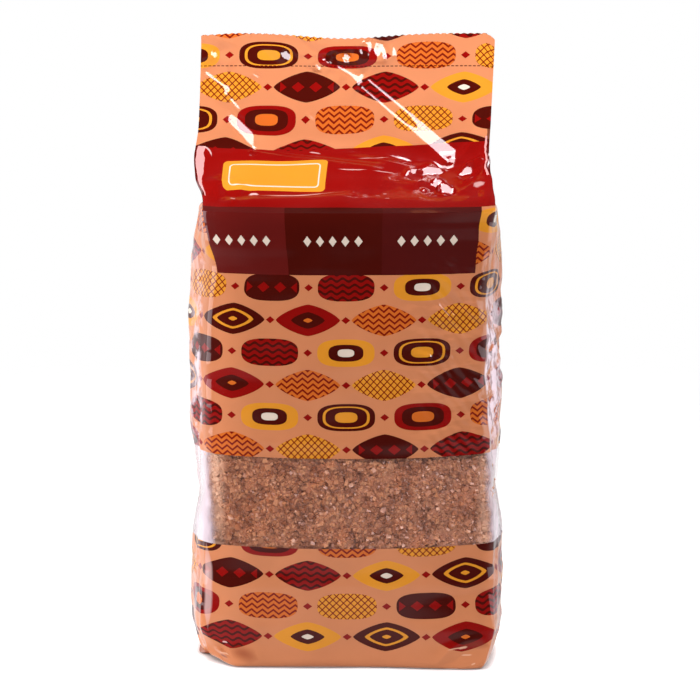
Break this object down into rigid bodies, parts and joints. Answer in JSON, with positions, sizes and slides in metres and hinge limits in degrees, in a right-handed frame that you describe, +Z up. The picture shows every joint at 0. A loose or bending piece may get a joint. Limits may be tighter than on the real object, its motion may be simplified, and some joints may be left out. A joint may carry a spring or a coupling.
{
  "type": "bag of brown sugar",
  "caption": "Upright side-gusseted film bag of brown sugar on a block bottom, with a flat sealed fin on top and a clear band round the filled body.",
  "frame": {"origin": "middle of the bounding box's base, under the bag", "axes": "+Z up, the front panel faces -Y, +X to the right of the front panel"},
  "size_m": [0.115, 0.07, 0.232],
  "materials": {
    "printed_film": "glossy printed film",
    "clear_film": "clear glossy film",
    "sugar": "granular brown sugar"
  },
  "bodies": {
    "root": {"bag": "printed_film"}
  },
  "joints": []
}
